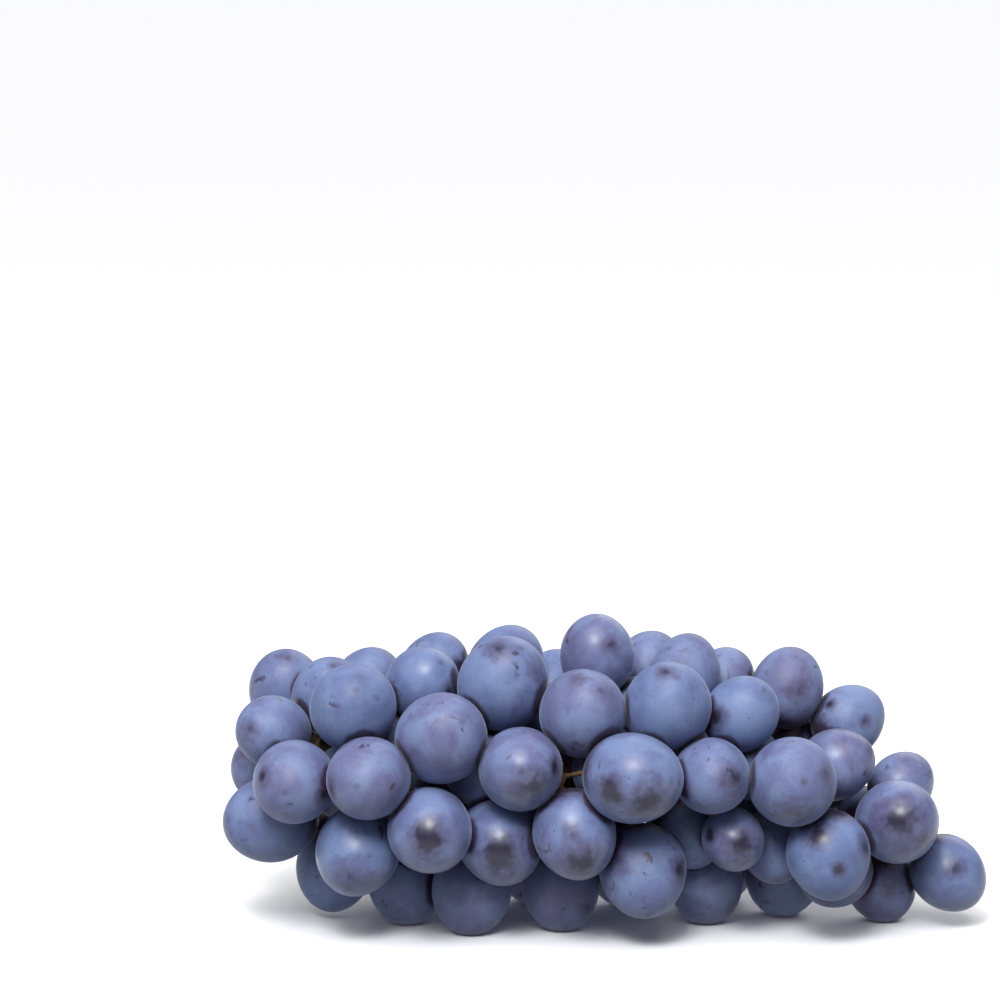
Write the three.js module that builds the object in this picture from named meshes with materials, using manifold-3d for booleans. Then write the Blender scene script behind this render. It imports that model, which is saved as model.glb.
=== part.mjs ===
// A bunch of blue table grapes lying on its side, shoulder towards -X and tip towards +X.
// Units are millimetres, +Z is up, and the bunch rests on the plane z = 0.
import * as THREE from "three";
import { mergeVertices } from "three/addons/utils/BufferGeometryUtils.js";
import Module from "manifold-3d";

// ---- driving dimensions ----
const bunchLength = 170;
const bunchDepth = 72;
const bunchHeight = 72;
const berryWidth = 17.8;
const berryLength = 20.2;
const gap = 0.3; // between any two pieces that touch
const restPress = 0.35; // how far the lowest berries are pressed flat
const leastPress = 0.02; // the same, where a flat facet faces the surface
const rachisWidth = 4.8; // main stalk at its cut end
const rachisTipWidth = 2;
const pedicelWidth = 1.5; // stalk of one berry
const branchWidth = 2.2; // a side branch at its root
const branchLength = 13; // the side branches nearest the shoulder
const branchTipLength = 5;
const branchSpacing = 6.5; // along the main stalk, from one side branch to the next
const receptacleWidth = 4.0; // swollen end that carries a berry
const receptacleLength = 1.8;

// ---- how the shapes are made ----
const berrySides = 10;
const eggShare = 0.05; // how much fuller a berry is towards its stalk
const stalkSides = 5;
const rachisSides = 8;
const stalkStep = 6;
const gridStep = 1.2; // spacing of the grid that the stalks find their way through
const packingRounds = 500;
const pulledShare = 0.6; // of the rounds, in which the berries are pulled to their seats
const seatPull = 0.04; // how much of the way to its seat a berry goes in a round
const pushShare = 0.55; // how much of an overlap each of two berries gives way
const leastFacing = 0.2; // keeps a push across the bunch from growing without end
const settled = 0.002; // an overlap that is left alone
const packingSlack = 0.05; // on top of the gap
const rachisSlack = 1; // room beside the main stalk
const giveAcross = 1; // a pressed berry gives way across the bunch first
const giveAlong = 0.35;
const branchTurn = THREE.MathUtils.degToRad(137.5); // from one side branch to the next, round the stalk
const branchLean = THREE.MathUtils.degToRad(55); // away from the main stalk, towards the tip
const smoothRounds = 12;
const keepEvery = 3; // points of a way that a stalk keeps
const branchSteps = 6;
const linePoints = 60; // points of a stalk's line that a way may start from
const rachisSamples = 120;
const rootShare = 0.06; // how far nearer the shoulder a berry's stalk leaves the main one
const gridMargin = 4; // round the berries' centres
const farRoom = 9; // a cell's room where no berry is near
const roomSpan = 6; // how far from a berry its room is worked out
const startReach = 1.2; // in grid steps, round a stalk's line
const endReach = 1.3; // in grid steps, round a berry's stalk end
const shutShare = 0.8; // of the tight room, below which a cell is shut
const squeezeShare = 1.6; // of the tight room, below which a cell costs more
const squeezeCost = 2.5;
const detourCost = 2; // a millimetre between a berry's stalk end and its way
const turnSteps = 5;
const turnSpins = 12;
const turnCost = 14; // a berry's turn, per radian squared
const turnLimit = THREE.MathUtils.degToRad(75);
const leaningLimit = THREE.MathUtils.degToRad(30); // where the blossom end's way is given
const joinDepth = 0.2; // how far a swollen end reaches into its gap, before it is cut
const outlineDegrees = [-62, -36, -12, 12, 36, 62];
const firstBranch = 14; // along the main stalk, from its cut end
const knotShare = 1.25; // a joint's swelling beside its branch

// ---- where the berries sit ----
// Seats are written for a bunch 170 long, 72 deep and 72 high, and stretch with the real one.
// Each is [along, across, up, size beside a usual berry], then the way that the blossom end
// points where a berry doesn't simply face away from the main stalk.
const drawn = { length: 170, depth: 72, height: 72 };

const seats = {
  crest: [
    [-72.5, 14, 51, 0.93], [-63, 1, 51.5, 0.9], [-54, 16, 51.5, 0.88], [-55, -16, 53, 1.04],
    [-38, 10, 56.5, 0.85], [-40, -6, 56.5, 0.88], [-22.5, -12, 57.5, 1.08], [-21, 8, 57.5, 0.94],
    [-11, 18, 51, 0.85], [-1, -4, 63, 0.9, [0.1, -0.2, 1]], [-3.5, -20, 52.5, 1.02],
    [11, 12, 57, 0.82], [19, 0, 58.5, 0.84], [15, -17, 54, 1.04], [28.5, 11, 54, 0.76],
    [31, -12, 51.5, 0.88], [42, 7, 53.5, 0.9, [0.3, 0.3, 1]], [56, 6, 46, 0.84, [1, 0.1, 0.15]],
  ],
  cheek: [
    [-72.5, -8, 45.5, 0.88], [-66.5, -21, 38, 0.98], [-50, -25, 39, 0.98], [-35, -22, 47.5, 1.07],
    [-17.5, -25, 41, 0.99], [6, -26, 39, 1.08, [1, -0.25, -0.15]], [24, -24, 39.5, 0.9],
    [42, -22, 38, 1.05], [53, -6, 39, 0.85], [68.5, 5, 31.5, 0.76], [66.5, -12, 27, 1.0],
  ],
  belly: [
    [-77, 8, 33.5, 0.86], [-74.5, -8, 25.5, 1.05, [-1, -0.4, -0.2]], [-54, -20, 21, 1.0],
    [-37.5, -26, 28.5, 0.99], [-21.5, -22, 23.5, 1.0], [-5, -24, 28, 0.98, [0.35, -0.35, -1]],
    [9, -19, 18, 1.03, [0.1, -0.5, -1]], [29.5, -18, 24, 0.72], [50.5, -19, 21, 0.98, [0, -0.2, -1]],
    [19.5, -6, 20.5, 0.8], [39, -6, 19.5, 0.82], [-61, 3, 11, 0.93], [78, 0, 12, 0.88, [0.5, -0.3, -1]],
  ],
  floor: [
    [-44.5, -1, 9, 0.92], [-29, -9, 9, 0.97], [-9, -5, 9, 0.96], [23.5, -1, 9, 0.92],
    [42, 8, 9, 0.93], [65, 3, 9, 0.86],
  ],
  back: [
    [-57, 26, 34, 1.0], [-41, 25, 40, 1.02], [-23, 26, 34, 1.0], [-4, 25, 41, 1.0],
    [14, 26, 37, 1.03], [33, 24, 34, 0.98], [51, 18, 30, 0.94],
    [-40, 18, 9, 1.0], [-15, 16, 9, 0.96], [6, 14, 9, 0.94], [27, 18, 9, 0.95],
  ],
};

// The rows whose berries carry the bunch on the surface: all of floor, and the low ones of back.
const restingUp = 9;

// The main stalk runs through the middle and comes out behind the shoulder, cut short.
const rachisSeats = [
  [-79, 28, 40], [-71, 20, 39], [-57, 8, 37], [-36, 2, 36], [-12, 0, 35], [14, 1, 34], [38, 3, 30],
  [56, 3, 23], [66, 2, 20],
];

const skinColour = 0x6d7aa3;
const stalkColour = 0x9a7a58;

const wasm = await Module();
wasm.setup();

// ---- placing ----
function stretch([along, across, up]) {
  return new THREE.Vector3(
    (along * bunchLength) / drawn.length,
    (across * bunchDepth) / drawn.depth,
    (up * bunchHeight) / drawn.height,
  );
}

const rachis = new THREE.CatmullRomCurve3(rachisSeats.map(stretch), false, "centripetal");
const rachisPoints = rachis.getSpacedPoints(rachisSamples);

function rachisRadius(share) {
  return THREE.MathUtils.lerp(rachisWidth, rachisTipWidth, share) / 2;
}

function nearestOnRachis(point) {
  let best = 0;
  rachisPoints.forEach((candidate, index) => {
    if (candidate.distanceTo(point) < rachisPoints[best].distanceTo(point)) best = index;
  });
  return { point: rachisPoints[best], share: best / (rachisPoints.length - 1) };
}

// A stalk's middle line, with the rings that its tube is made of. Stalks join each other at rings.
function makeLine(points) {
  const curve = new THREE.CatmullRomCurve3(points, false, "centripetal");
  const steps = Math.max(2, Math.round(curve.getLength() / stalkStep));
  return { curve, rings: curve.getSpacedPoints(steps), berries: 0 };
}

function nearestRingOf(lines, point) {
  let best = { distance: Infinity };
  for (const line of lines) {
    for (const ring of line.rings) {
      const distance = ring.distanceTo(point);
      if (distance < best.distance) best = { distance, line, ring };
    }
  }
  return best;
}

function makeBerries() {
  const berries = [];
  for (const [row, list] of Object.entries(seats)) {
    list.forEach(([along, across, up, size, lean], index) => {
      const seat = stretch([along, across, up]);
      const berry = {
        name: `${row}_berry_${String(index + 1).padStart(2, "0")}`,
        seat,
        centre: seat.clone(),
        halfWidth: (berryWidth * size) / 2,
        halfLength: (berryLength * size) / 2,
        rests: up === restingUp,
        leans: lean !== undefined,
        axis: new THREE.Vector3(),
      };
      if (lean) berry.axis.set(...lean).normalize();
      else berry.axis.copy(outwardAxis(berry));
      berries.push(berry);
    });
  }
  return berries;
}

// A berry hangs from a stalk that leaves the main one a little nearer the shoulder.
function outwardAxis(berry) {
  const onStalk = nearestOnRachis(berry.centre);
  const root = rachis.getPointAt(Math.max(0, onStalk.share - rootShare));
  return berry.centre.clone().sub(root).normalize();
}

// How far a berry reaches from its centre along a direction.
function reach(berry, direction) {
  const alongAxis = direction.dot(berry.axis);
  const acrossSquared = Math.max(0, 1 - alongAxis * alongAxis);
  return Math.hypot(berry.halfLength * alongAxis, berry.halfWidth * Math.sqrt(acrossSquared));
}

function furthest(berry) {
  return Math.max(berry.halfLength, berry.halfWidth);
}

const up = new THREE.Vector3(0, 0, 1);
const clearance = gap + packingSlack;

function separate(berries) {
  let worst = 0;
  for (let i = 0; i < berries.length; i += 1) {
    for (let j = i + 1; j < berries.length; j += 1) {
      const between = berries[j].centre.clone().sub(berries[i].centre);
      const distance = between.length();
      if (distance > furthest(berries[i]) + furthest(berries[j]) + clearance) continue;
      between.divideScalar(distance);
      const lack = reach(berries[i], between) + reach(berries[j], between) + clearance - distance;
      if (lack <= 0) continue;
      worst = Math.max(worst, lack);
      const push = new THREE.Vector3(
        between.x * giveAlong, between.y * giveAcross, between.z * giveAlong,
      );
      push.multiplyScalar((lack * pushShare) / Math.max(push.dot(between), leastFacing));
      berries[i].centre.sub(push);
      berries[j].centre.add(push);
    }
  }
  return worst;
}

function clearOfRachis(berry) {
  const onStalk = nearestOnRachis(berry.centre);
  const away = berry.centre.clone().sub(onStalk.point);
  const distance = away.length();
  away.divideScalar(distance);
  const room = rachisRadius(onStalk.share) + clearance + rachisSlack;
  const lack = reach(berry, away) + room - distance;
  if (lack > 0) berry.centre.addScaledVector(away, lack);
}

function keepAboveFloor(berry) {
  const low = reach(berry, up);
  if (berry.rests) berry.centre.z = low - restPress;
  else berry.centre.z = Math.max(berry.centre.z, low + gap);
}

function packBerries(berries, rounds) {
  for (let round = 0; round < rounds; round += 1) {
    const pull = round < rounds * pulledShare ? seatPull : 0;
    for (const berry of berries) {
      berry.centre.lerp(berry.seat, pull);
      clearOfRachis(berry);
      keepAboveFloor(berry);
    }
    if (separate(berries) < settled && pull === 0) break;
  }
  berries.forEach(keepAboveFloor);
}

// ---- the main stalk and its side branches ----
// Side branches leave in a spiral and lean towards the tip, each bent clear of the berries.
function makeBranches(berries) {
  const total = rachis.getLength();
  const branches = [];
  const count = Math.floor((total - firstBranch) / branchSpacing);
  for (let i = 0; i < count; i += 1) {
    const share = (firstBranch + i * branchSpacing) / total;
    const root = rachis.getPointAt(share);
    const along = rachis.getTangentAt(share);
    const side = up.clone().cross(along).normalize().applyAxisAngle(along, i * branchTurn);
    const direction = along.multiplyScalar(Math.cos(branchLean));
    direction.addScaledVector(side, Math.sin(branchLean));
    const length = THREE.MathUtils.lerp(branchLength, branchTipLength, share);
    const points = [];
    for (let step = 0; step <= branchSteps; step += 1) {
      points.push(root.clone().addScaledVector(direction, (length * step) / branchSteps));
    }
    branches.push(makeLine(smoothWay(points, berries, branchWidth / 2 + gap)));
  }
  return branches;
}

// ---- finding a way for the stalks ----
// Distance from a point to a berry's skin, close to exact near the skin.
function toSkin(berry, point) {
  const offset = point.clone().sub(berry.centre);
  const alongAxis = offset.dot(berry.axis);
  const across = Math.sqrt(Math.max(0, offset.lengthSq() - alongAxis * alongAxis));
  const scale = Math.hypot(alongAxis / berry.halfLength, across / berry.halfWidth);
  return offset.length() * (1 - 1 / Math.max(scale, 0.05));
}

function makeGrid(berries) {
  const low = new THREE.Vector3(Infinity, Infinity, Infinity);
  const high = low.clone().negate();
  for (const berry of berries) {
    low.min(berry.centre);
    high.max(berry.centre);
  }
  low.subScalar(gridMargin);
  high.addScalar(gridMargin);
  const count = high.clone().sub(low).divideScalar(gridStep).ceil().addScalar(1);
  const grid = { low, nx: count.x, ny: count.y, nz: count.z };
  const total = grid.nx * grid.ny * grid.nz;
  grid.room = new Float64Array(total).fill(farRoom);
  grid.cost = new Float64Array(total).fill(Infinity);
  grid.parent = new Int32Array(total).fill(-1);
  for (const berry of berries) {
    const span = furthest(berry) + roomSpan;
    eachCell(grid, berry.centre, span, (cell, point) => {
      grid.room[cell] = Math.min(grid.room[cell], toSkin(berry, point));
    });
  }
  return grid;
}

function cellPoint(grid, cell) {
  const x = cell % grid.nx;
  const y = Math.floor(cell / grid.nx) % grid.ny;
  const z = Math.floor(cell / (grid.nx * grid.ny));
  return new THREE.Vector3(x, y, z).multiplyScalar(gridStep).add(grid.low);
}

function eachCell(grid, centre, span, visit) {
  const first = centre.clone().sub(grid.low).subScalar(span).divideScalar(gridStep).ceil();
  const last = centre.clone().sub(grid.low).addScalar(span).divideScalar(gridStep).floor();
  first.max(new THREE.Vector3(0, 0, 0));
  last.min(new THREE.Vector3(grid.nx - 1, grid.ny - 1, grid.nz - 1));
  for (let z = first.z; z <= last.z; z += 1) {
    for (let y = first.y; y <= last.y; y += 1) {
      for (let x = first.x; x <= last.x; x += 1) {
        const cell = x + grid.nx * (y + grid.ny * z);
        visit(cell, new THREE.Vector3(x, y, z).multiplyScalar(gridStep).add(grid.low));
      }
    }
  }
}

// Cheapest ways from the stalks that are already there to every open cell. A tight squeeze costs
// more than a detour.
const tightRoom = pedicelWidth / 2 + gap;

function spreadFrom(grid, lines) {
  const queue = makeQueue();
  for (const centre of lines.flatMap((line) => line.curve.getSpacedPoints(linePoints))) {
    const near = gridStep * startReach;
    eachCell(grid, centre, near, (cell, point) => {
      if (point.distanceTo(centre) > near || grid.cost[cell] === 0) return;
      grid.cost[cell] = 0;
      queue.push(cell, 0);
    });
  }
  while (queue.size() > 0) {
    const { cell, cost } = queue.pop();
    if (cost > grid.cost[cell]) continue;
    for (const { next, length } of neighbours(grid, cell)) {
      const room = grid.room[next];
      if (room < tightRoom * shutShare) continue;
      const squeeze = room < tightRoom * squeezeShare ? squeezeCost : 1;
      const total = cost + length * squeeze;
      if (total >= grid.cost[next] - 1e-9) continue;
      grid.cost[next] = total;
      grid.parent[next] = cell;
      queue.push(next, total);
    }
  }
}

function* neighbours(grid, cell) {
  const x = cell % grid.nx;
  const y = Math.floor(cell / grid.nx) % grid.ny;
  const z = Math.floor(cell / (grid.nx * grid.ny));
  for (let dz = -1; dz <= 1; dz += 1) {
    for (let dy = -1; dy <= 1; dy += 1) {
      for (let dx = -1; dx <= 1; dx += 1) {
        if (dx === 0 && dy === 0 && dz === 0) continue;
        if (x + dx < 0 || x + dx >= grid.nx || y + dy < 0 || y + dy >= grid.ny) continue;
        if (z + dz < 0 || z + dz >= grid.nz) continue;
        const next = cell + dx + grid.nx * (dy + grid.ny * dz);
        yield { next, length: gridStep * Math.hypot(dx, dy, dz) };
      }
    }
  }
}

// A small binary heap, cheapest first.
function makeQueue() {
  const items = [];
  const before = (a, b) => items[a].cost < items[b].cost;
  const swap = (a, b) => {
    [items[a], items[b]] = [items[b], items[a]];
  };
  return {
    size: () => items.length,
    push(cell, cost) {
      items.push({ cell, cost });
      let child = items.length - 1;
      while (child > 0) {
        const parent = (child - 1) >> 1;
        if (!before(child, parent)) break;
        swap(child, parent);
        child = parent;
      }
    },
    pop() {
      const top = items[0];
      const last = items.pop();
      if (items.length === 0) return top;
      items[0] = last;
      let parent = 0;
      for (;;) {
        let child = 2 * parent + 1;
        if (child >= items.length) break;
        if (child + 1 < items.length && before(child + 1, child)) child += 1;
        if (!before(child, parent)) break;
        swap(child, parent);
        parent = child;
      }
      return top;
    },
  };
}

function stalkEnd(berry, axis) {
  return berry.centre.clone().addScaledVector(axis, -(berry.halfLength + gap));
}

function bestCellNear(grid, point) {
  let best = { cell: -1, cost: Infinity };
  eachCell(grid, point, gridStep * endReach, (cell, at) => {
    const cost = grid.cost[cell] + detourCost * at.distanceTo(point);
    if (cost < best.cost) best = { cell, cost };
  });
  return best;
}

// A berry turns until the pole that its stalk joins has a free way in.
function turnToStalk(grid, berry) {
  const wanted = berry.axis.clone();
  const limit = berry.leans ? leaningLimit : turnLimit;
  const side = new THREE.Vector3(1, 0, 0).cross(wanted);
  if (side.length() < 0.3) side.set(0, 1, 0).cross(wanted);
  side.normalize();
  let best = { cost: Infinity, axis: wanted };
  for (let tilt = 0; tilt <= turnSteps; tilt += 1) {
    for (let spin = 0; spin < turnSpins; spin += 1) {
      const angle = (limit * tilt) / turnSteps;
      const axis = wanted.clone().applyAxisAngle(side, angle);
      axis.applyAxisAngle(wanted, (spin * 2 * Math.PI) / turnSpins);
      const outside = stalkEnd(berry, axis).addScaledVector(axis, -receptacleLength);
      const cost = bestCellNear(grid, outside).cost + turnCost * angle * angle;
      if (cost < best.cost - 1e-6) best = { cost, axis };
    }
  }
  berry.axis.copy(best.axis).normalize();
}

// ---- solids ----
function toManifold(geometry) {
  const plain = geometry.index ? geometry.toNonIndexed() : geometry.clone();
  plain.deleteAttribute("normal");
  plain.deleteAttribute("uv");
  const merged = mergeVertices(plain, 1e-4);
  const index = new Uint32Array(merged.index.array);
  const kept = [];
  for (let i = 0; i < index.length; i += 3) {
    const [a, b, c] = [index[i], index[i + 1], index[i + 2]];
    if (a !== b && b !== c && a !== c) kept.push(a, b, c);
  }
  const mesh = new wasm.Mesh({
    numProp: 3,
    vertProperties: new Float32Array(merged.attributes.position.array),
    triVerts: new Uint32Array(kept),
  });
  return new wasm.Manifold(mesh);
}

function toGeometry(solid) {
  const mesh = solid.getMesh();
  const geometry = new THREE.BufferGeometry();
  geometry.setAttribute("position", new THREE.BufferAttribute(new Float32Array(mesh.vertProperties), 3));
  geometry.setIndex(new THREE.BufferAttribute(new Uint32Array(mesh.triVerts), 1));
  geometry.computeVertexNormals();
  return geometry;
}

// An egg-like oval, fuller towards its stalk.
function berryGeometry(berry, grow = 0) {
  const width = berry.halfWidth + grow;
  const length = berry.halfLength + grow;
  const outline = [new THREE.Vector2(0, -length)];
  for (const degrees of outlineDegrees) {
    const angle = THREE.MathUtils.degToRad(degrees);
    const fuller = 1 - eggShare * Math.sin(angle);
    outline.push(new THREE.Vector2(width * Math.cos(angle) * fuller, length * Math.sin(angle)));
  }
  outline.push(new THREE.Vector2(0, length));
  const geometry = new THREE.LatheGeometry(outline, berrySides);
  const turn = new THREE.Quaternion().setFromUnitVectors(new THREE.Vector3(0, 1, 0), berry.axis);
  geometry.applyQuaternion(turn);
  geometry.translate(...berry.centre.toArray());
  return geometry;
}

// A resting berry is cut flat by the surface, and comes down to it where its facets stand above it.
function berrySolid(berry) {
  const geometry = berryGeometry(berry);
  if (!berry.rests) return toManifold(geometry);
  geometry.computeBoundingBox();
  const lowest = geometry.boundingBox.min.z;
  geometry.translate(0, 0, Math.min(0, -leastPress - lowest));
  const solid = toManifold(geometry);
  const size = Math.ceil(furthest(berry) * 4);
  const block = new THREE.BoxGeometry(size, size, size);
  block.translate(berry.centre.x, berry.centre.y, -size / 2);
  return solid.subtract(toManifold(block));
}

// A tube along a list of points whose radius changes from point to point.
function tubeSolid(line, radii, sides = stalkSides) {
  const steps = line.rings.length - 1;
  const section = new THREE.Shape();
  for (let side = 0; side < sides; side += 1) {
    const angle = (side * 2 * Math.PI) / sides;
    const corner = [Math.cos(angle), Math.sin(angle)];
    if (side === 0) section.moveTo(...corner);
    else section.lineTo(...corner);
  }
  section.closePath();
  const geometry = new THREE.ExtrudeGeometry(section, {
    steps, bevelEnabled: false, extrudePath: line.curve,
  });
  const position = geometry.attributes.position;
  const vertex = new THREE.Vector3();
  for (let i = 0; i < position.count; i += 1) {
    vertex.fromBufferAttribute(position, i);
    const ring = nearestRing(line.rings, vertex);
    const radius = radii[Math.round((ring / steps) * (radii.length - 1))];
    vertex.sub(line.rings[ring]).multiplyScalar(radius).add(line.rings[ring]);
    position.setXYZ(i, vertex.x, vertex.y, vertex.z);
  }
  return toManifold(geometry);
}

// The ring that a vertex belongs to is the one whose centre is just one unit away.
function nearestRing(rings, vertex) {
  const misses = rings.map((centre) => Math.abs(centre.distanceTo(vertex) - 1));
  return misses.indexOf(Math.min(...misses));
}

function knotSolid(centre, radius) {
  const knot = new THREE.OctahedronGeometry(radius, 0);
  knot.translate(...centre.toArray());
  return toManifold(knot);
}

// The swollen end of a pedicel: a short cone that opens towards the berry.
function receptacleSolid(berry) {
  const size = berry.halfWidth / (berryWidth / 2);
  const cone = new THREE.CylinderGeometry(
    (receptacleWidth * size) / 2, pedicelWidth / 2, receptacleLength, stalkSides,
  );
  const turn = new THREE.Quaternion().setFromUnitVectors(new THREE.Vector3(0, 1, 0), berry.axis);
  cone.applyQuaternion(turn);
  const middle = stalkEnd(berry, berry.axis).addScaledVector(
    berry.axis, joinDepth - receptacleLength / 2,
  );
  cone.translate(...middle.toArray());
  return toManifold(cone);
}

// ---- the stalk, grown from the ways that were found ----
function wayIn(grid, berry) {
  const outside = stalkEnd(berry, berry.axis).addScaledVector(berry.axis, -receptacleLength);
  let { cell } = bestCellNear(grid, outside);
  const way = [];
  while (cell >= 0) {
    way.push(cell);
    cell = grid.parent[cell];
  }
  return way;
}

function smoothWay(points, berries, room) {
  const smooth = points.map((point) => point.clone());
  for (let round = 0; round < smoothRounds; round += 1) {
    for (let i = 1; i < smooth.length - 1; i += 1) {
      const middle = smooth[i - 1].clone().add(smooth[i + 1]).multiplyScalar(0.5);
      smooth[i].lerp(middle, 0.5);
      for (const berry of berries) {
        const lack = room - toSkin(berry, smooth[i]);
        if (lack <= 0) continue;
        const away = smooth[i].clone().sub(berry.centre).normalize();
        smooth[i].addScaledVector(away, lack);
      }
    }
  }
  return smooth;
}

// Long ways are laid first, and each later one ends where it meets one that is already there.
function pedicelPieces(grid, berries, lines) {
  const ways = berries.map((berry) => ({ berry, way: wayIn(grid, berry) }));
  ways.sort((a, b) => b.way.length - a.way.length);
  const laid = new Map();
  const pieces = [];
  for (const { berry, way } of ways) {
    const joint = way.findIndex((cell) => laid.has(cell));
    const own = joint < 0 ? way : way.slice(0, joint);
    const start = stalkEnd(berry, berry.axis);
    start.addScaledVector(berry.axis, joinDepth - receptacleLength);
    const points = [start, ...own.map((cell) => cellPoint(grid, cell))];
    if (joint < 0) {
      const end = nearestRingOf(lines, points[points.length - 1]);
      end.line.berries += 1;
      points.push(end.ring.clone());
    } else {
      points.push(laid.get(way[joint]));
    }
    const smooth = smoothWay(points, berries, pedicelWidth / 2 + gap);
    const line = makeLine(smooth.filter((_, i) => i % keepEvery === 0 || i === smooth.length - 1));
    own.forEach((cell, i) => laid.set(cell, nearestRingOf([line], smooth[i + 1]).ring));
    pieces.push(receptacleSolid(berry));
    pieces.push(tubeSolid(line, [pedicelWidth / 2]));
    pieces.push(knotSolid(points[points.length - 1], (pedicelWidth / 2) * knotShare));
  }
  return pieces;
}

function branchPieces(branches) {
  const radii = [branchWidth / 2, (branchWidth + pedicelWidth) / 4, pedicelWidth / 2];
  const used = branches.filter((branch) => branch.berries > 0);
  return used.map((branch) => tubeSolid(branch, radii));
}

function stemSolid(grid, berries, mainLine, branches) {
  const radii = mainLine.rings.map((_, i) => rachisRadius(i / (mainLine.rings.length - 1)));
  const main = tubeSolid(mainLine, radii, rachisSides);
  const pedicels = pedicelPieces(grid, berries, [mainLine, ...branches]);
  const pieces = [main, ...pedicels, ...branchPieces(branches)];
  const joined = pieces.reduce((all, piece) => all.add(piece));
  const grown = berries.map((berry) => toManifold(berryGeometry(berry, gap)));
  return joined.subtract(grown.reduce((all, solid) => all.add(solid)));
}

// ---- the bunch ----
function addMesh(group, name, solid, colour, roughness) {
  const material = new THREE.MeshStandardMaterial({ color: colour, roughness, metalness: 0 });
  const mesh = new THREE.Mesh(toGeometry(solid), material);
  mesh.name = name;
  group.add(mesh);
}

function makeBunch() {
  const berries = makeBerries();
  packBerries(berries, packingRounds);
  const mainLine = makeLine(rachis.points);
  const firstGrid = makeGrid(berries);
  spreadFrom(firstGrid, [mainLine, ...makeBranches(berries)]);
  for (const berry of berries) turnToStalk(firstGrid, berry);
  packBerries(berries, packingRounds / 2);
  const branches = makeBranches(berries);
  const grid = makeGrid(berries);
  spreadFrom(grid, [mainLine, ...branches]);

  const group = new THREE.Group();
  addMesh(group, "stem", stemSolid(grid, berries, mainLine, branches), stalkColour, 0.8);
  for (const berry of berries) {
    addMesh(group, berry.name, berrySolid(berry), skinColour, 0.5);
  }
  const box = new THREE.Box3().setFromObject(group);
  const centre = box.getCenter(new THREE.Vector3());
  group.position.set(-centre.x, -centre.y, 0);
  return group;
}

export default makeBunch();
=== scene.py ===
import math
import bmesh
import bpy
import numpy as np
from mathutils import Matrix, Quaternion, Vector


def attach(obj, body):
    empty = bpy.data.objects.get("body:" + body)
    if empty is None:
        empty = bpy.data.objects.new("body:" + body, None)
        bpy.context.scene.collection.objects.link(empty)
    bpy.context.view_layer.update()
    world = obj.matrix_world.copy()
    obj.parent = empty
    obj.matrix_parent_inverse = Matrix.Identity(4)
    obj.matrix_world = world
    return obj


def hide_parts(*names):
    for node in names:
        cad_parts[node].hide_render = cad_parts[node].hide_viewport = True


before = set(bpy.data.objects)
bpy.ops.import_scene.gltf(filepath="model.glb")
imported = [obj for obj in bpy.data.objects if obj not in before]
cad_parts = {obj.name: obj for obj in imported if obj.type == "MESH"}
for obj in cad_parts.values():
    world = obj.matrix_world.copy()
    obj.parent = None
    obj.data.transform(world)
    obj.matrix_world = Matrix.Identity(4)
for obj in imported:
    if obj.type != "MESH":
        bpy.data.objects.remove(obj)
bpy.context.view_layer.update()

mm = 0.001
root = "root"
farAway = 1.0  # further than any two places on the bunch


def deselectAll():
    bpy.ops.object.select_all(action="DESELECT")


def toLinear(code):
    # sRGB hex to the linear colour that a shader socket wants
    parts = [int(code[i : i + 2], 16) / 255 for i in (0, 2, 4)]
    return [p / 12.92 if p <= 0.04045 else ((p + 0.055) / 1.055) ** 2.4 for p in parts] + [1.0]


def smoothStep(low, high, value):
    t = np.clip((value - low) / (high - low), 0, 1)
    return t * t * (3 - 2 * t)


def softFloor(value, softness):
    # zero below, unchanged above, rounded between
    return softness * np.logaddexp(0, value / softness)


# Where the CAD berries are
def verticesOf(piece):
    points = np.zeros(len(piece.data.vertices) * 3)
    piece.data.vertices.foreach_get("co", points)
    return points.reshape(-1, 3)


flatHeight = 0.01 * mm  # vertices under this belong to the flat that a berry rests on


def fitOval(points):
    # an oval through the skin of a berry, by least squares
    skin = points[points[:, 2] > flatHeight] / mm
    middle = skin.mean(0)
    x, y, z = (skin - middle).T
    terms = np.stack([x * x, y * y, z * z, 2 * x * y, 2 * x * z, 2 * y * z, 2 * x, 2 * y, 2 * z], 1)
    q = np.linalg.lstsq(terms, np.ones(len(skin)), rcond=None)[0]
    shape = np.array([[q[0], q[3], q[4]], [q[3], q[1], q[5]], [q[4], q[5], q[2]]])
    centre = -np.linalg.solve(shape, q[6:9])
    level = 1 + centre @ shape @ centre
    values, vectors = np.linalg.eigh(shape / level)
    lengths = 1 / np.sqrt(values)
    return (centre + middle) * mm, vectors[:, 0], lengths[0] * mm, lengths[1:].mean() * mm


stemPoints = verticesOf(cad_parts["stem"])


def readBerry(name):
    centre, axis, halfLength, halfWidth = fitOval(verticesOf(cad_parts[name]))
    # the stalk joins the end that is nearer to the stem, and the axis points away from it
    ends = [np.linalg.norm(stemPoints - (centre + s * axis * halfLength), axis=1).min() for s in (1, -1)]
    if ends[0] < ends[1]:
        axis = -axis
    return {"name": name, "centre": centre, "axis": axis, "halfLength": halfLength, "halfWidth": halfWidth}


berries = [readBerry(name) for name in sorted(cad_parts) if name != "stem"]
print("berries read from the frame:", len(berries))


def reach(berry, direction):
    along = direction @ berry["axis"]
    across = math.sqrt(max(0.0, 1 - along * along))
    return math.hypot(berry["halfLength"] * along, berry["halfWidth"] * across)


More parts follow.
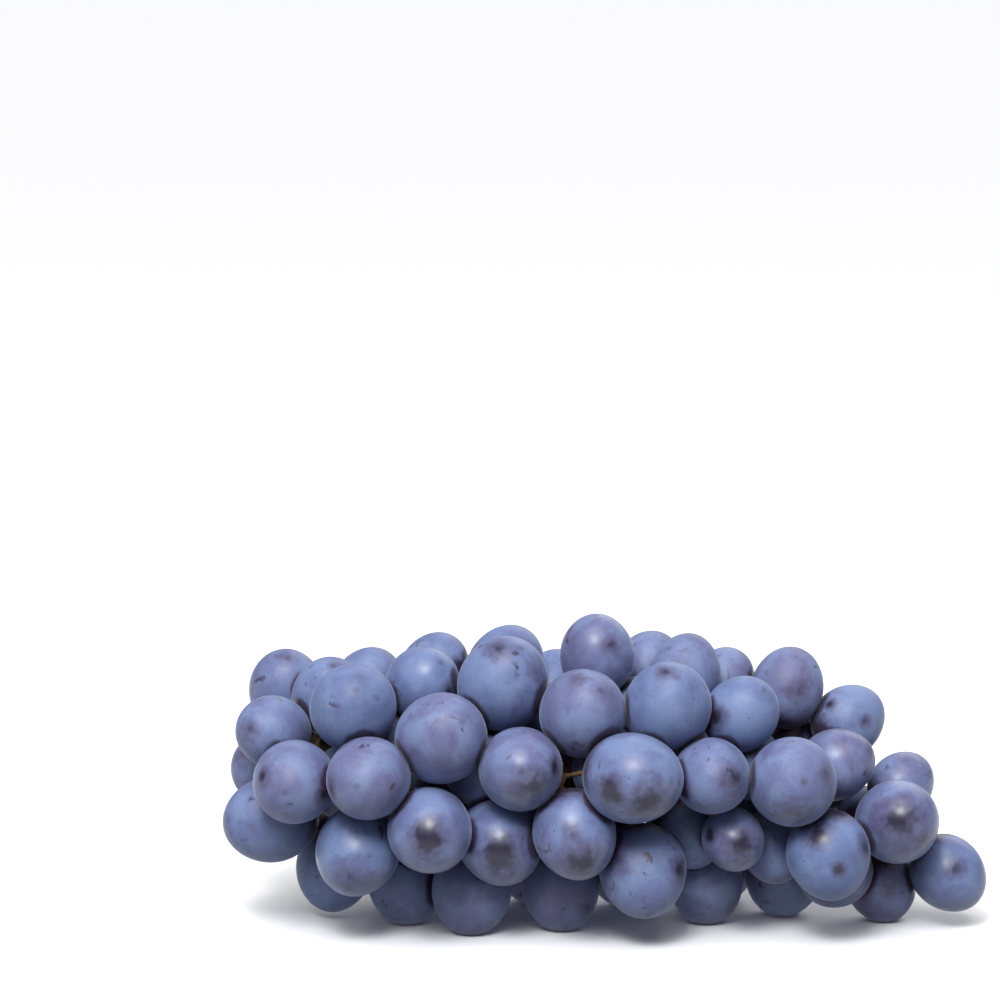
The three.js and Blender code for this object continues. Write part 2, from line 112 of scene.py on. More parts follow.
# More berries, in the free spaces
filler = {
    "step": 2.5 * mm,  # between the places that are tried
    "sizes": [8.8, 8.2, 7.6, 7.0, 6.4],  # half widths, largest first
    "lengthShare": 1.12,  # length over width
    "press": 0.9 * mm,  # how far a berry may press into its neighbours
    "most": 29,  # berries added in all
    # chosen first, in millimetres: behind the gaps between the front berries
    "behindGaps": [
        (7, 0, 50),
        (25, 10, 39),
        (60, 12, 23),
        (-17, -4, 27),
        (-7, 9, 19),
        (-44, 28, 18),
        (-10, 32, 27),
    ],
    "stemGap": 0.3 * mm,
    "longestStalk": 9 * mm,  # how far from the stem a berry may hang
    "roundness": 1.04,  # a berry's mean half width over its half width
}


def hullPlanes(points):
    # the planes of the hull round some points, as normals and distances
    form = bmesh.new()
    for point in points:
        form.verts.new(point)
    bmesh.ops.convex_hull(form, input=form.verts)
    form.normal_update()
    middle = np.mean(points, axis=0)
    normals, levels = [], []
    for face in form.faces:
        normal = np.array(face.normal)
        if normal @ (np.array(face.calc_center_median()) - middle) < 0:
            normal = -normal
        normals.append(normal)
        levels.append(normal @ np.array(face.verts[0].co))
    form.free()
    return np.array(normals), np.array(levels)


def roomRound(places, placed):
    # the distance from each place to the nearest two berries' skins
    first = np.full(len(places), farAway)
    second = np.full(len(places), farAway)
    for berry in placed:
        space = np.linalg.norm(places - berry["centre"], axis=1) - berry["halfWidth"] * filler["roundness"]
        second = np.minimum(second, np.maximum(space, first))
        first = np.minimum(first, space)
    return first, second


def stemDistance(places):
    return np.array([np.linalg.norm(stemPoints - place, axis=1).min() for place in places])


def makeFiller(place, half, number):
    nearest = stemPoints[np.linalg.norm(stemPoints - place, axis=1).argmin()]
    return {
        "name": f"inner_berry_{number:02d}",
        "centre": place,
        "axis": (place - nearest) / np.linalg.norm(place - nearest),
        "halfWidth": half,
        "halfLength": half * filler["lengthShare"],
        "stalkFrom": nearest,
    }


def findFillers():
    placed = list(berries)
    added = []
    for chosen in filler["behindGaps"]:
        place = np.array(chosen) * mm
        room = roomRound(place[None], placed)[0][0] + filler["press"]
        half = min(room, stemDistance(place[None])[0] - filler["stemGap"])
        added.append(makeFiller(place, half, len(added) + 1))
        placed.append(added[-1])
    # the others lie inside the outer berries' centres, largest first, each where it is snuggest
    centres = np.array([berry["centre"] for berry in berries])
    normals, levels = hullPlanes(centres)
    low, high = centres.min(0), centres.max(0)
    axes = [np.arange(low[i], high[i], filler["step"]) for i in range(3)]
    grid = np.stack(np.meshgrid(*axes, indexing="ij"), -1).reshape(-1, 3)
    grid = grid[((grid @ normals.T) <= levels).all(1)]
    stemRoom = stemDistance(grid)
    for half in np.array(filler["sizes"]) * mm:
        while len(added) < filler["most"]:
            room, second = roomRound(grid, placed)
            fits = (room > half - filler["press"]) & (stemRoom > half + filler["stemGap"])
            fits &= (stemRoom < half + filler["longestStalk"]) & (grid[:, 2] > half)
            if not fits.any():
                break
            best = np.where(fits, second, farAway).argmin()
            added.append(makeFiller(grid[best], half, len(added) + 1))
            placed.append(added[-1])
    return added


fillers = findFillers()
berries += fillers
print("berries added in the free spaces:", len(fillers))


# The stalk, with a pedicel for each added berry that hangs well away from it. The others have none.
stalk = {
    "voxel": 0.38 * mm,
    "pedicel": 0.75 * mm,  # half width of a berry's own stalk
    "cup": 1.9 * mm,  # half width of the swollen end
    "cupLength": 1.8 * mm,
    "endInside": 0.2 * mm,  # how far a pedicel goes into its berry
    "startInside": 0.4 * mm,  # and into the branch it grows from
    "sides": 10,
    "shortest": 1.3,  # in cup lengths; a shorter pedicel is left out, so its berry only sits by the branch
    "merge": 0.005 * mm,
    "smooth": 6,
    "smoothShare": 0.5,
    "ripple": 0.32 * mm,  # height of the bark's ripple, from furrow to ridge
    "rippleSize": 2.2 * mm,
    "rippleDetail": 2,
    "rippleMiddle": 0.5,
}


def addPedicel(start, end):
    # a straight stalk from start to end that widens into its cup
    direction = Vector(end) - Vector(start)
    deselectAll()
    bpy.ops.mesh.primitive_cylinder_add(
        vertices=stalk["sides"], radius=stalk["pedicel"], depth=direction.length
    )
    pedicel = bpy.context.object
    bpy.ops.object.mode_set(mode="EDIT")
    bpy.ops.mesh.select_all(action="DESELECT")
    form = bmesh.from_edit_mesh(pedicel.data)
    top = max(form.faces, key=lambda face: face.calc_center_median().z)
    top.select = True
    form.select_flush(True)
    bmesh.update_edit_mesh(pedicel.data)
    grow = stalk["cup"] / stalk["pedicel"]
    bpy.ops.transform.translate(value=(0, 0, -stalk["cupLength"]))
    bpy.ops.mesh.extrude_region_move(TRANSFORM_OT_translate={"value": (0, 0, stalk["cupLength"])})
    bpy.ops.transform.resize(value=(grow, grow, 1))
    bpy.ops.object.mode_set(mode="OBJECT")
    turn = direction.to_track_quat("Z", "Y").to_matrix().to_4x4()
    pedicel.data.transform(Matrix.Translation((Vector(start) + Vector(end)) / 2) @ turn)
    return pedicel


def makeStalk():
    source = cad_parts["stem"]
    copy = bpy.data.objects.new("stalk", source.data.copy())
    bpy.context.scene.collection.objects.link(copy)
    pedicels = []
    for berry in fillers:
        end = berry["centre"] - berry["axis"] * (berry["halfLength"] - stalk["endInside"])
        start = berry["stalkFrom"] - berry["axis"] * stalk["startInside"]
        if np.linalg.norm(end - start) > stalk["cupLength"] * stalk["shortest"]:
            pedicels.append(addPedicel(start, end))
    deselectAll()
    for pedicel in pedicels:
        pedicel.select_set(True)
    copy.select_set(True)
    bpy.context.view_layer.objects.active = copy
    bpy.ops.object.join()
    bpy.ops.object.mode_set(mode="EDIT")
    bpy.ops.mesh.select_all(action="SELECT")
    bpy.ops.mesh.remove_doubles(threshold=stalk["merge"])
    bpy.ops.object.mode_set(mode="OBJECT")
    remesh = copy.modifiers.new("Remesh", "REMESH")
    remesh.mode = "VOXEL"
    remesh.voxel_size = stalk["voxel"]
    bpy.ops.object.modifier_apply(modifier="Remesh")
    smooth = copy.modifiers.new("Smooth", "SMOOTH")
    smooth.factor = stalk["smoothShare"]
    smooth.iterations = stalk["smooth"]
    bpy.ops.object.modifier_apply(modifier="Smooth")
    bark = bpy.data.textures.new("barkRipple", "CLOUDS")
    bark.noise_scale = stalk["rippleSize"]
    bark.noise_depth = stalk["rippleDetail"]
    ripple = copy.modifiers.new("Ripple", "DISPLACE")
    ripple.texture = bark
    ripple.texture_coords = "LOCAL"
    ripple.strength = stalk["ripple"]
    ripple.mid_level = stalk["rippleMiddle"]
    bpy.ops.object.modifier_apply(modifier="Ripple")
    bpy.ops.object.shade_smooth()
    return copy


stalkPiece = makeStalk()
print("stalk:", len(stalkPiece.data.polygons), "faces")


# The berries' skins. Lengths without mm are on a berry whose half width is 1.
berryForm = {
    "segments": 72,
    "rings": 44,
    "egg": 0.05,  # fuller towards the stalk
    "dimple": 0.055,  # depth of the stalk end's hollow, as a share of the half length
    "dimpleSize": 0.34,
    "poleHeight": 0.999,  # only the sphere's pole is past this
    "scar": 0.06,  # the faces inside this half width make the blossom scar
    "scarStep": 0.015,  # width of its rim, and of its inner slope
    "scarRise": 0.005,
    "scarDip": -0.011,
    "inflate": 0.42 * mm,  # the skin swells this far past the CAD oval, which closes most of the gaps
    "contactGap": 0.012 * mm,  # each skin stops this short of the plane between two berries
    "softness": 0.14 * mm,  # how rounded the edge of a pressed flat is
    "lump": 0.011,  # how uneven a berry is
    "lumpWaves": [[2.1, 0.4, -1.3], [0.7, 2.6, 0.9], [-1.1, 0.8, 2.3]],
    "seed": 100,
    "wearAndShadeDepth": (0.05 * mm, 1.7 * mm),  # how far from a contact the bloom is all worn and darkened by painted shade, and where that stops; the same near the surface below
    "nearTouch": 0.6 * mm,  # berries this near each other wear each other's bloom and get painted shade where they meet
    "farApart": 30 * mm,  # and none further apart than this can touch
    "dullest": 0.45,  # the most shine that an unpolished berry has
}


def makeBerryForm():
    # a unit berry along Z: stalk end at -1, blossom end at +1
    deselectAll()
    bpy.ops.mesh.primitive_uv_sphere_add(
        segments=berryForm["segments"], ring_count=berryForm["rings"], radius=1
    )
    berry = bpy.context.object
    bpy.ops.object.mode_set(mode="EDIT")
    # the hollow at the stalk end
    selectByPlace(berry, lambda co: co.z < -berryForm["poleHeight"])
    bpy.ops.transform.translate(
        value=(0, 0, berryForm["dimple"]),
        use_proportional_edit=True,
        proportional_edit_falloff="SMOOTH",
        proportional_size=berryForm["dimpleSize"],
    )
    # the dry scar at the blossom end
    selectByPlace(berry, lambda co: co.z > 0 and math.hypot(co.x, co.y) < berryForm["scar"])
    bpy.ops.mesh.select_mode(type="FACE")
    bpy.ops.mesh.inset(thickness=berryForm["scarStep"], depth=berryForm["scarRise"])
    bpy.ops.mesh.inset(thickness=berryForm["scarStep"], depth=berryForm["scarDip"])
    bpy.ops.mesh.select_mode(type="VERT")
    bpy.ops.object.mode_set(mode="OBJECT")
    return berry


def selectByPlace(piece, test):
    bpy.ops.mesh.select_all(action="DESELECT")
    form = bmesh.from_edit_mesh(piece.data)
    for vertex in form.verts:
        vertex.select = test(vertex.co)
    form.select_flush(True)
    bmesh.update_edit_mesh(piece.data)


# Berries whose bloom is polished to a satin shine all over.
polished = {
    "belly_berry_03", "belly_berry_04", "belly_berry_05", "belly_berry_06", "belly_berry_08",
    "belly_berry_13", "cheek_berry_05", "cheek_berry_06", "cheek_berry_10", "cheek_berry_11",
    "crest_berry_06", "crest_berry_10", "cheek_berry_09", "floor_berry_04",
}

# Where the bloom is rubbed off: the way the patch faces from the berry's centre, its half angle in
# degrees and how bare it is. An empty list leaves the bloom whole, and a berry that isn't listed is
# rubbed a little at its blossom end and on one side.
rubs = {
    "belly_berry_03": [((-0.1, -1, -0.35), 24, 0.5), ((0.35, -0.9, -0.6), 18, 0.35)],
    "belly_berry_04": [((0.0, -1, 0.1), 30, 1.0)],
    "belly_berry_05": [((0.03, -1, -0.02), 36, 1.0), ((0.55, -0.8, 0.3), 12, 0.3)],
    "belly_berry_06": [((0.25, -1, -0.5), 32, 0.75), ((-0.1, -1, 0.3), 14, 0.35)],
    "belly_berry_07": [((-0.7, -0.6, 0.45), 30, 0.55), ((0.85, -0.5, 0.15), 22, 0.8)],
    "belly_berry_08": [((0.25, -1, 0.05), 40, 0.8), ((-0.8, -0.6, 0.3), 20, 0.9)],
    "belly_berry_09": [
        ((-0.35, -0.8, 0.75), 24, 0.9),
        ((0.2, -1, -0.1), 14, 0.75),
        ((0.9, -0.4, 0.3), 22, 0.8),
    ],
    "belly_berry_13": [((0.1, -1, 0.45), 20, 0.6)],
    "cheek_berry_02": [((0.85, -0.7, -0.15), 18, 0.8), ((-0.75, -0.75, 0.3), 16, 0.8)],
    "cheek_berry_03": [((-0.8, -0.6, -0.1), 16, 0.5)],
    "cheek_berry_04": [],
    "cheek_berry_05": [((0.35, -1, -0.2), 34, 0.65), ((0.85, -0.6, 0.2), 18, 0.8)],
    "cheek_berry_06": [((-0.5, -0.85, -0.1), 26, 1.0), ((0.3, -0.92, -0.3), 34, 0.75)],
    "cheek_berry_07": [((0.5, -0.9, 0.15), 26, 0.6), ((-0.8, -0.65, -0.3), 18, 0.9)],
    "cheek_berry_08": [((0.0, -1, -0.6), 24, 0.45), ((0.75, -0.7, 0.35), 16, 0.5)],
    "cheek_berry_11": [((-0.1, -1, 0.25), 40, 0.75), ((0.45, -0.9, -0.2), 20, 0.5)],
    "crest_berry_04": [],
    "crest_berry_05": [((0.75, -0.65, 0.25), 22, 0.9)],
    "crest_berry_06": [((0.75, -0.7, -0.1), 18, 0.7)],
    "crest_berry_07": [((-0.1, -0.65, 0.95), 20, 0.5), ((0.75, -0.6, 0.4), 16, 0.4)],
    "crest_berry_10": [((0.4, -0.9, 0.45), 18, 0.6)],
    "crest_berry_11": [((-0.1, -0.55, 0.85), 14, 0.35)],
    "crest_berry_14": [((-0.05, -0.6, 0.9), 14, 0.6)],
    "crest_berry_16": [((-0.75, -0.75, 0.05), 24, 0.9)],
    "crest_berry_18": [((0.45, -0.9, 0.15), 14, 0.6), ((-0.6, -0.6, 0.6), 14, 0.7)],
}
# the other berries' smudges: half angle and bareness at the blossom end, then on a side, least and most
blossomRub = (14, 0.3)
strayRub = {"angle": (12, 24), "bare": (0.3, 0.8)}


def pressAgainst(points, berry):
    # flattens a berry where its neighbours and the surface press on it, and gives a mask near those
    # contacts for worn bloom and painted shade
    centre = berry["centre"]
    softness = berryForm["softness"]
    contact = np.zeros(len(points))
    for other in berries:
        between = other["centre"] - centre
        distance = np.linalg.norm(between)
        if other is berry or distance > berryForm["farApart"]:
            continue
        direction = between / distance
        mine = reach(berry, direction) + berryForm["inflate"]
        theirs = reach(other, direction) + berryForm["inflate"]
        limit = distance * mine / (mine + theirs) - berryForm["contactGap"]
        if distance > mine + theirs + berryForm["nearTouch"]:
            continue
        height = (points - centre) @ direction
        pressed = limit - softFloor(limit - height, softness)
        # near a neighbour the mask stands for worn bloom and also for painted shade in the gap
        contact = np.maximum(contact, 1 - smoothStep(*berryForm["wearAndShadeDepth"], limit - height))
        points += np.outer(pressed - height, direction)
    # near the surface the mask is painted shade under the berry, with bloom worn where it rests
    contact = np.maximum(contact, 1 - smoothStep(*berryForm["wearAndShadeDepth"], points[:, 2]))
    points[:, 2] = softFloor(points[:, 2], softness)
    return points, contact


def rubField(name, axis, outward, chance):
    # 1 at a rubbed patch's middle, 0 at its edge, and below 0 outside it
    stray = (chance.normal(size=3), chance.uniform(*strayRub["angle"]), chance.uniform(*strayRub["bare"]))
    field = np.full(len(outward), -1.0)
    for facing, angle, bare in rubs.get(name, [(axis, *blossomRub), stray]):
        direction = np.array(facing, float) / np.linalg.norm(facing)
        away = np.degrees(np.arccos(np.clip(outward @ direction, -1, 1)))
        field = np.maximum(field, bare * (1 - away / angle))
    return field


def makeBerry(berry, index):
    chance = np.random.default_rng(berryForm["seed"] + index)
    axis = Vector(berry["axis"])
    turn = Vector((0, 0, 1)).rotation_difference(axis)
    turn = turn @ Quaternion((0, 0, 1), chance.uniform(0, 2 * math.pi))
    turning = np.array(turn.to_matrix())
    unit = templatePoints.copy()
    along = unit[:, 2].copy()
    fuller = 1 - berryForm["egg"] * along
    phases = chance.uniform(0, 2 * math.pi, 6)
    waves = np.sin(unit @ np.array(berryForm["lumpWaves"]) + phases[:3])
    lumps = 1 + berryForm["lump"] * waves.sum(1)
    width = berry["halfWidth"] + berryForm["inflate"]
    unit[:, :2] *= (width * fuller * lumps)[:, None]
    unit[:, 2] *= berry["halfLength"] + berryForm["inflate"]
    points = unit @ turning.T + berry["centre"]
    points, contact = pressAgainst(points, berry)
    outward = points - berry["centre"]
    outward /= np.linalg.norm(outward, axis=1)[:, None]
    piece = bpy.data.objects.new(berry["name"] + "_skin", berryTemplate.data.copy())
    bpy.context.scene.collection.objects.link(piece)
    piece.data.vertices.foreach_set("co", points.ravel())
    tone = chance.uniform(0, 1)
    bareness = (rubField(berry["name"], berry["axis"], outward, chance) + 1) / 2
    # its second channel is the contact mask: worn bloom and painted shade near neighbours and the surface
    addAttribute(piece, "place", [(along + 1) / 2, contact, np.full(len(points), tone)])
    shine = 1.0 if berry["name"] in polished else chance.uniform(0, berryForm["dullest"])
    addAttribute(piece, "rub", [bareness, np.full(len(points), shine), np.zeros(len(points))])
    piece.data.update()
    return piece


def addAttribute(piece, name, channels):
    # a colour attribute that a material reads, three channels of it
    colours = np.ones((len(piece.data.vertices), 4), np.float32)
    colours[:, :3] = np.stack(channels, 1)
    attribute = piece.data.attributes.new(name, "FLOAT_COLOR", "POINT")
    attribute.data.foreach_set("color", colours.ravel())


berryTemplate = makeBerryForm()
deselectAll()
berryTemplate.select_set(True)
bpy.context.view_layer.objects.active = berryTemplate
bpy.ops.object.shade_smooth()
templatePoints = verticesOf(berryTemplate)
skins = [makeBerry(berry, index) for index, berry in enumerate(berries)]
bpy.data.objects.remove(berryTemplate)
print("berries made:", len(skins))


# Materials
def addNode(tree, kind, inputs=(), output=None, **settings):
    # adds a node and gives back one of its outputs. Inputs are a list in the order of the sockets that
    # show, or a dictionary by their names, and each is a value or another node's output.
    node = tree.nodes.new("ShaderNode" + kind)
    for key, value in settings.items():
        setattr(node, key, value)
    if not isinstance(inputs, dict):
        shown = [index for index, socket in enumerate(node.inputs) if socket.enabled]
        inputs = dict(zip(shown, inputs))
    for place, value in inputs.items():
        if isinstance(value, bpy.types.NodeSocket):
            tree.links.new(value, node.inputs[place])
        else:
            node.inputs[place].default_value = value
    if output:
        return node.outputs[output]
    return next((socket for socket in node.outputs if socket.enabled), None)


def newMaterial(name):
    material = bpy.data.materials.new(name)
    material.use_nodes = True
    material.node_tree.nodes.clear()
    return material, material.node_tree


eased = {"interpolation_type": "SMOOTHSTEP"}
colours = {"data_type": "RGBA"}

# Blue grape skin, grown: a dark glossy skin under epicuticular wax, which scatters pale blue and dry.
# Where the wax is rubbed off, the skin shows dark purple and shines. Near other berries and the surface,
# worn bloom and painted shade darken it.
grapeSkin = {
    "bare": "211c2f",
    "bareWarm": "44354e",
    "bloomBlue": "5f709b",
    "bloomPurple": "62648a",
    "bloomPale": "7587ae",
    # maroon is the skin's own colour round the stalk, and a painted shade tint where berries touch
    "maroon": "2d1019",
    "speck": "2b2b3d",
    "scar": "33262a",
    "sheen": "c3cdee",
    # blots, smears, scuffs and grains of wax, and the areas that have scuffs and specks
    "blot": {"Scale": 1 / (7 * mm), "Detail": 3, "Roughness": 0.55, "Distortion": 0.3},
    "smear": {"Scale": 1 / (3.2 * mm), "Detail": 4, "Roughness": 0.55, "Distortion": 0.8},
    "scuff": {"Scale": 1 / (2.6 * mm), "Detail": 2, "Roughness": 0.5, "Distortion": 0.5},
    "powder": {"Scale": 1 / (0.6 * mm), "Detail": 3, "Roughness": 0.6},
    "scuffArea": {"Scale": 1 / (11 * mm), "Detail": 1, "Roughness": 0.55},
    "speckArea": {"Scale": 1 / (9 * mm), "Detail": 1, "Roughness": 0.55},
    "noiseMiddle": 0.5,
    "speckGap": 2.6 * mm,
    # where each effect starts and ends, then its strength at the start and at the end
    "rubbedEdge": [0.38, 0.62, 0.0, 0.5],
    "rubbedMiddle": [0.58, 0.84, 0.0, 0.47],
    "scuffs": [0.56, 0.7, 0.0, 0.8],
    "scuffPlaces": [0.52, 0.64, 0.0, 1.0],
    "thinWax": [0.56, 0.75, 0.0, 0.34],
    # bloom worn, and painted shade, near contacts with berries and the surface
    "wearAndShadeByTouch": [0.4, 0.9, 0.0, 0.8],
    "stalkEnd": [0.1, 0.3, 0.9, 0.0],
    "specks": [0.06, 0.14, 1.0, 0.0],
    "speckPlaces": [0.52, 0.62, 0.0, 1.0],
    "grain": [0.3, 0.7, 0.0, 0.1],
    "paleWax": [0.36, 0.6, 0.6, 0.0],
    "warmEdge": [0.4, 0.95, 1.0, 0.0],
    "scarEnd": [0.996, 1.0, 0.0, 0.4],
    # how far the smears and scuffs push the edges about
    "smearRubbed": 0.4,
    "scuffRubbed": 0.2,
    "smearThin": 0.3,
    "smearTouch": 0.5,
    "smearStalkEnd": 0.2,
    "leastBare": 0.03,
    "speckColour": 0.6,
    "roughBare": 0.3,
    "roughBloom": 0.62,
    "roughSatin": 0.36,
    "ior": 1.42,
    "sheenWeight": 0.36,
    "sheenRoughness": 0.3,
    # the relief: how much of each pattern it takes, its strength and its height
    "reliefSmear": 0.5,
    "reliefPowder": 0.15,
    "reliefSpeck": -0.4,
    "relief": [0.3, 0.1 * mm],
}


def makeGrapeSkin():
    look = grapeSkin
    material, tree = newMaterial("grape skin with waxy bloom")
    where = addNode(tree, "TexCoord", output="Object")
    place = addNode(tree, "Attribute", attribute_name="place")
    along, contact, tone = addNode(tree, "SeparateColor", [place]).node.outputs
    rub = addNode(tree, "Attribute", attribute_name="rub")
    bareness, shine, _ = addNode(tree, "SeparateColor", [rub]).node.outputs
    blot, smear, scuff, powder, scuffArea, speckArea = [
        addNode(tree, "TexNoise", {"Vector": where, **look[pattern]})
        for pattern in ("blot", "smear", "scuff", "powder", "scuffArea", "speckArea")
    ]
    cork = addNode(tree, "TexVoronoi", {"Vector": where, "Scale": 1 / look["speckGap"]})
    smearSwing = addNode(tree, "Math", [smear, look["noiseMiddle"]], operation="SUBTRACT")
    scuffSwing = addNode(tree, "Math", [scuff, look["noiseMiddle"]], operation="SUBTRACT")

    # rubbed patches, whose edges the smears and scuffs break up
    patch = addNode(tree, "Math", [smearSwing, look["smearRubbed"], bareness], operation="MULTIPLY_ADD")
    patch = addNode(tree, "Math", [scuffSwing, look["scuffRubbed"], patch], operation="MULTIPLY_ADD")
    rubbedEdge = addNode(tree, "MapRange", [patch, *look["rubbedEdge"]], **eased)
    rubbedMiddle = addNode(tree, "MapRange", [patch, *look["rubbedMiddle"]], **eased)
    rubbed = addNode(tree, "Math", [rubbedEdge, rubbedMiddle], operation="ADD")
    # small scuffs, in some places only
    scuffs = addNode(tree, "MapRange", [scuff, *look["scuffs"]], **eased)
    scuffPlaces = addNode(tree, "MapRange", [scuffArea, *look["scuffPlaces"]], **eased)
    scuffed = addNode(tree, "Math", [scuffs, scuffPlaces], operation="MULTIPLY")
    # thin places in the wax
    cover = addNode(tree, "Math", [smearSwing, look["smearThin"], blot], operation="MULTIPLY_ADD")
    thin = addNode(tree, "MapRange", [cover, *look["thinWax"]], **eased)
    # worn bloom with painted shade where berries touch and near the surface, and bare round the stalk
    touch = addNode(tree, "Math", [smearSwing, look["smearTouch"], contact], operation="MULTIPLY_ADD")
    wearAndShade = addNode(tree, "MapRange", [touch, *look["wearAndShadeByTouch"]], **eased)
    end = addNode(tree, "Math", [smearSwing, look["smearStalkEnd"], along], operation="MULTIPLY_ADD")
    stalkEnd = addNode(tree, "MapRange", [end, *look["stalkEnd"]], **eased)
    bare = look["leastBare"]
    for part in (rubbed, scuffed, thin, wearAndShade, stalkEnd):
        bare = addNode(tree, "Math", [part, bare], operation="MAXIMUM")
    # corky specks
    specks = addNode(tree, "MapRange", [cork, *look["specks"]], **eased)
    speckPlaces = addNode(tree, "MapRange", [speckArea, *look["speckPlaces"]], **eased)
    speckled = addNode(tree, "Math", [specks, speckPlaces], operation="MULTIPLY")

    bloom = toLinear(look["bloomBlue"])
    pale = addNode(tree, "MapRange", [blot, *look["paleWax"]], **eased)
    grain = addNode(tree, "MapRange", [powder, *look["grain"]], **eased)
    for share, over in ((tone, "bloomPurple"), (pale, "bloomPale"), (grain, "bare")):
        bloom = addNode(tree, "Mix", [share, bloom, toLinear(look[over])], **colours)
    # the bloom thins to a warm purple grey before the skin shows
    skin = toLinear(look["bare"])
    warm = addNode(tree, "MapRange", [bare, *look["warmEdge"]], **eased)
    # maroon round the stalk end, and as painted shade where berries touch
    red = addNode(tree, "Math", [wearAndShade, stalkEnd], operation="MAXIMUM")
    for share, over in ((warm, "bareWarm"), (red, "maroon")):
        skin = addNode(tree, "Mix", [share, skin, toLinear(look[over])], **colours)
    colour = addNode(tree, "Mix", [bare, bloom, skin], **colours)
    speckShare = addNode(tree, "Math", [speckled, look["speckColour"]], operation="MULTIPLY")
    scar = addNode(tree, "MapRange", [along, *look["scarEnd"]])
    for share, over in ((speckShare, "speck"), (scar, "scar")):
        colour = addNode(tree, "Mix", [share, colour, toLinear(look[over])], **colours)

    # dry bloom is matt, polished bloom is satin and bare skin shines
    satin = addNode(tree, "MapRange", [shine, 0, 1, look["roughBloom"], look["roughSatin"]])
    rough = addNode(tree, "MapRange", [bare, 0, 1, satin, look["roughBare"]])
    height = addNode(tree, "Math", [smear, look["reliefSmear"]], operation="MULTIPLY")
    height = addNode(tree, "Math", [powder, look["reliefPowder"], height], operation="MULTIPLY_ADD")
    height = addNode(tree, "Math", [speckled, look["reliefSpeck"], height], operation="MULTIPLY_ADD")
    relief = {"Strength": look["relief"][0], "Distance": look["relief"][1], "Height": height}
    shader = addNode(
        tree,
        "BsdfPrincipled",
        {
            "Base Color": colour,
            "Roughness": rough,
            "Normal": addNode(tree, "Bump", relief),
            "IOR": look["ior"],
            "Sheen Weight": look["sheenWeight"],
            "Sheen Roughness": look["sheenRoughness"],
            "Sheen Tint": toLinear(look["sheen"]),
        },
    )
    addNode(tree, "OutputMaterial", {"Surface": shader})
    return material


# Grape stalk: ridged bark, tan to brown and dry on the main stalk, green and smoother near the berries.
stalkBark = {
    "brown": "5c4030",
    "tan": "6d4d38",
    "green": "4b4b2f",
    "dark": "38241c",
    "greenUntil": (3 * mm, 12 * mm),  # from a berry, where the green starts to brown, and is all brown
    "blot": {"Scale": 1 / (5 * mm), "Detail": 3, "Roughness": 0.55},
    "ridge": {"Scale": 1 / (0.9 * mm), "Detail": 4, "Roughness": 0.6, "Distortion": 0.6},
    "corkGap": 1.3 * mm,
    # where each effect starts and ends, then its strength at the start and at the end
    "freshTan": [0.4, 0.62, 0.0, 1.0],
    "dryTan": [0.38, 0.6, 0.0, 1.0],
    "furrows": [0.3, 0.55, 0.55, 0.0],
    "spots": [0.12, 0.3, 0.4, 0.0],
    "rough": [0.0, 1.0, 0.5, 0.8],
    "ior": 1.45,
    "relief": [0.6, 0.2 * mm],
}


def makeStalkBark():
    look = stalkBark
    material, tree = newMaterial("grape stalk bark")
    where = addNode(tree, "TexCoord", output="Object")
    age = addNode(tree, "Attribute", output="Fac", attribute_name="age")
    blot = addNode(tree, "TexNoise", {"Vector": where, **look["blot"]})
    ridge = addNode(tree, "TexNoise", {"Vector": where, **look["ridge"]})
    cork = addNode(tree, "TexVoronoi", {"Vector": where, "Scale": 1 / look["corkGap"]})
    spots = addNode(tree, "MapRange", [cork, *look["spots"]], **eased)
    furrows = addNode(tree, "MapRange", [ridge, *look["furrows"]], **eased)
    tan = toLinear(look["tan"])
    freshTan = addNode(tree, "MapRange", [blot, *look["freshTan"]], **eased)
    dryTan = addNode(tree, "MapRange", [blot, *look["dryTan"]], **eased)
    fresh = addNode(tree, "Mix", [freshTan, toLinear(look["green"]), tan], **colours)
    dry = addNode(tree, "Mix", [dryTan, toLinear(look["brown"]), tan], **colours)
    colour = addNode(tree, "Mix", [age, fresh, dry], **colours)
    for share in (furrows, spots):
        colour = addNode(tree, "Mix", [share, colour, toLinear(look["dark"])], **colours)
    height = addNode(tree, "Math", [ridge, spots], operation="ADD")
    relief = {"Strength": look["relief"][0], "Distance": look["relief"][1], "Height": height}
    shader = addNode(
        tree,
        "BsdfPrincipled",
        {
            "Base Color": colour,
            "Roughness": addNode(tree, "MapRange", [ridge, *look["rough"]]),
            "Normal": addNode(tree, "Bump", relief),
            "IOR": look["ior"],
        },
    )
    addNode(tree, "OutputMaterial", {"Surface": shader})
    return material


skinMaterial = makeGrapeSkin()
barkMaterial = makeStalkBark()


def addAge(piece):
    # 0 on the green stalks near the berries, 1 on the old brown ones
    points = verticesOf(piece)
    nearestEnd = np.full(len(points), farAway)
    for berry in berries:
        end = berry["centre"] - berry["axis"] * berry["halfLength"]
        nearestEnd = np.minimum(nearestEnd, np.linalg.norm(points - end, axis=1))
    age = smoothStep(*stalkBark["greenUntil"], nearestEnd)
    addAttribute(piece, "age", [age, age, age])


def dress(piece, material):
    piece.data.materials.clear()
    piece.data.materials.append(material)
    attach(piece, root)


for piece, berry in zip(skins, berries):
    dress(piece, skinMaterial)
    if berry["name"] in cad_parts:
        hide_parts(berry["name"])

addAge(stalkPiece)
dress(stalkPiece, barkMaterial)
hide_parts("stem")
print("materials and bodies set")


# Floor, light and camera. The camera looks down on the bunch, and is aimed over and to the left of it.
view = {
    "distance": 0.8,  # metres from the middle of the bunch
    "elevation": 13.0,  # angles in degrees
    "lookUp": 4.43,
    "lookLeft": 1.76,
    "lens": 126.7,
    "sensor": 36,
    "aimHeight": 0.035,  # height of the middle of the bunch
}

